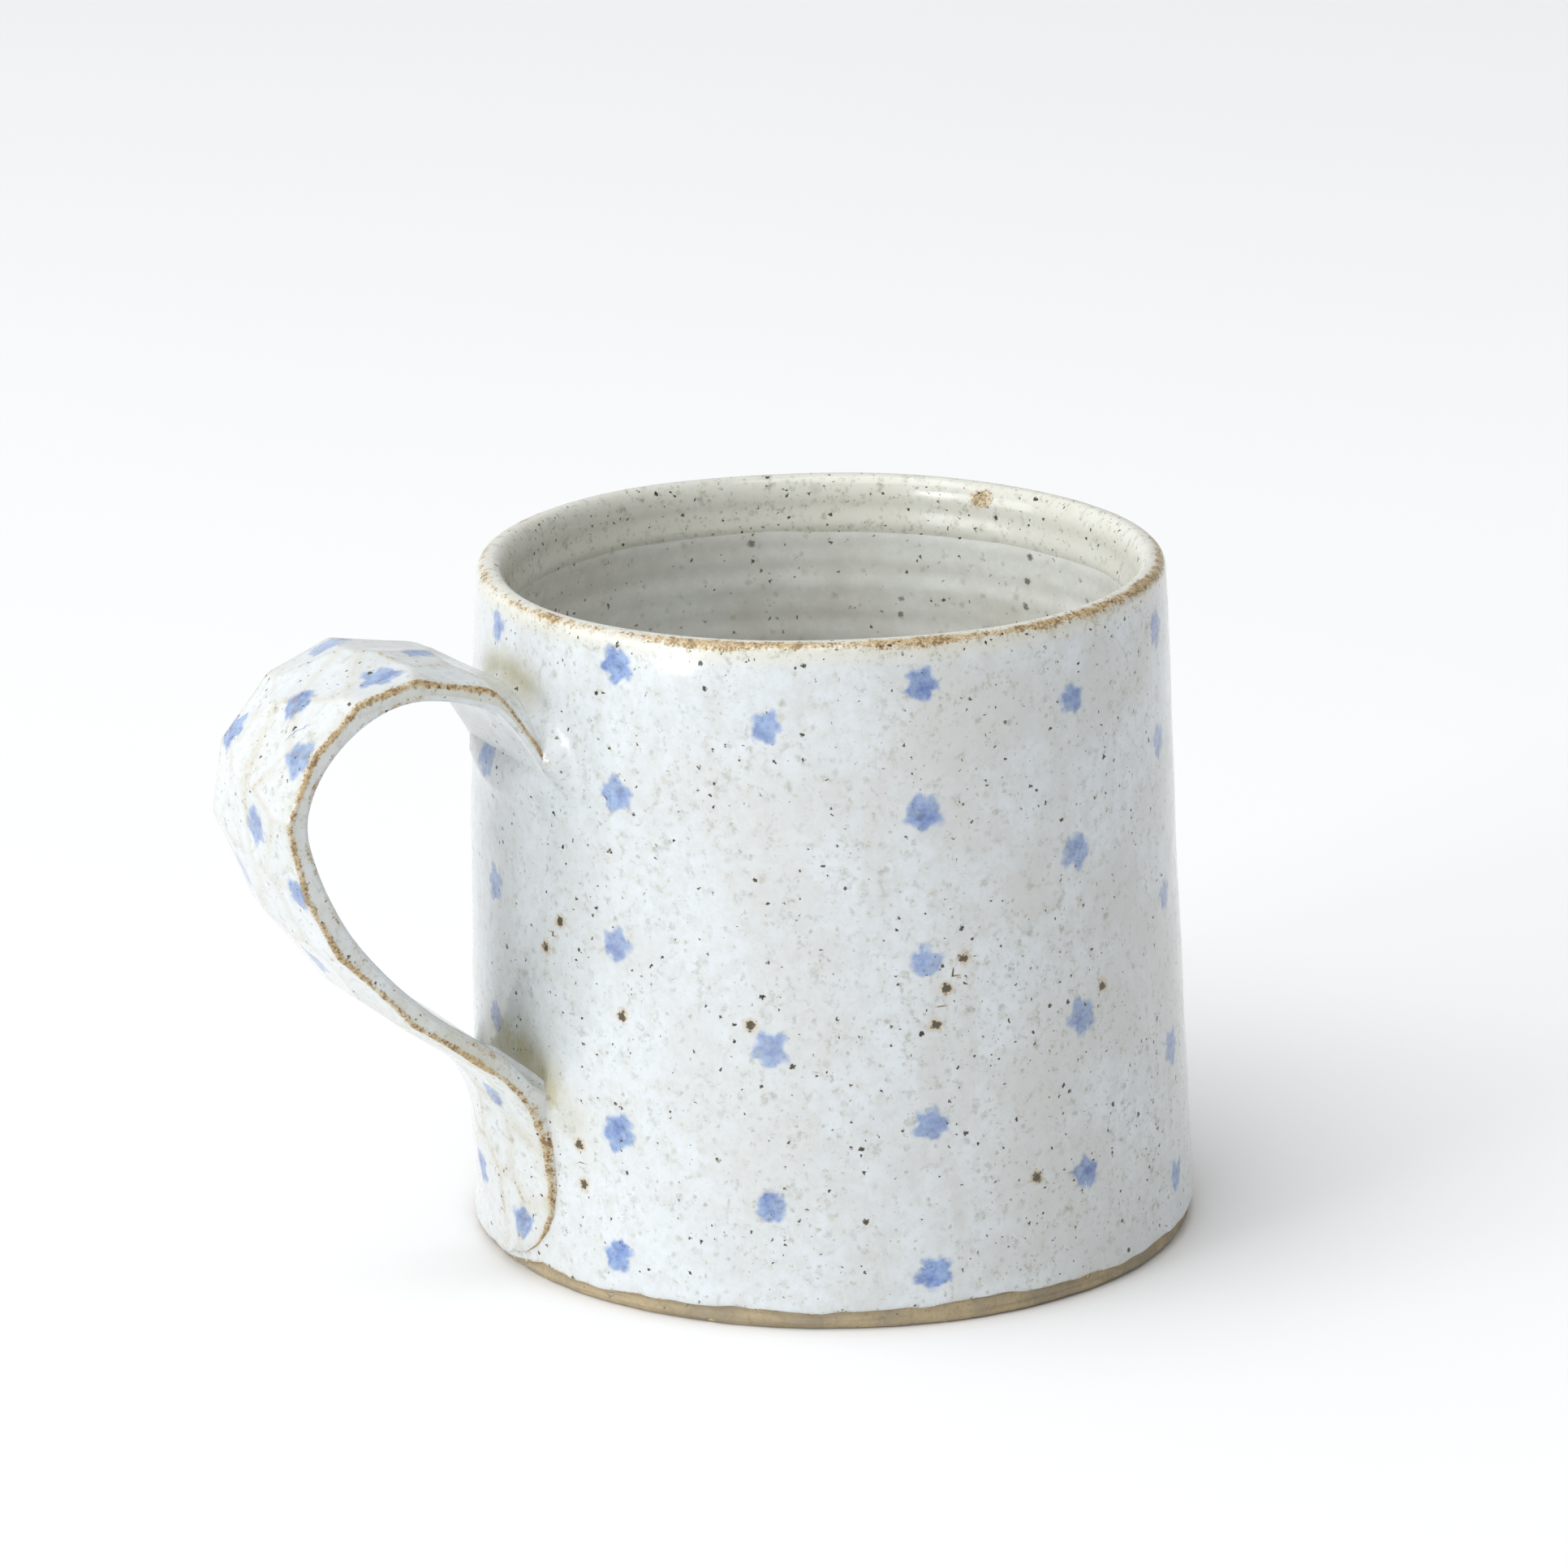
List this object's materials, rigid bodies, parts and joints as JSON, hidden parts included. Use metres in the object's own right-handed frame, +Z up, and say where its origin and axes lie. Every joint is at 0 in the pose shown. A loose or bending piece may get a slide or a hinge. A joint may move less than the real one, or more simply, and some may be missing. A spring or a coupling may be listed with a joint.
{
  "type": "handmade ceramic mug",
  "caption": "Handmade stoneware mug with a slightly tapered cup, a wide strap handle and a speckled white glaze painted with small blue flowers.",
  "frame": {"origin": "centre of the flat underside of the foot, on the cup's axis", "axes": "+Z up along the cup's axis, -X towards the handle, +Y to the side"},
  "size_m": [0.1252, 0.0918, 0.0859],
  "materials": {
    "bare_clay": "unglazed tan stoneware with fine light grit",
    "speckled_glaze": "glossy milky white glaze with iron specks, blue brushed flowers and ochre edges",
    "liner_glaze": "glossy grey-white liner glaze with fine iron specks"
  },
  "bodies": {
    "root": {"floor_slab": "bare_clay", "cup_wall": "bare_clay", "floor_seam_coil": "bare_clay", "liner_glaze": "liner_glaze", "outside_glaze": "speckled_glaze", "handle_strap": "bare_clay", "handle_top_coil": "bare_clay", "handle_base_coil": "bare_clay", "handle_glaze": "speckled_glaze"}
  },
  "joints": []
}
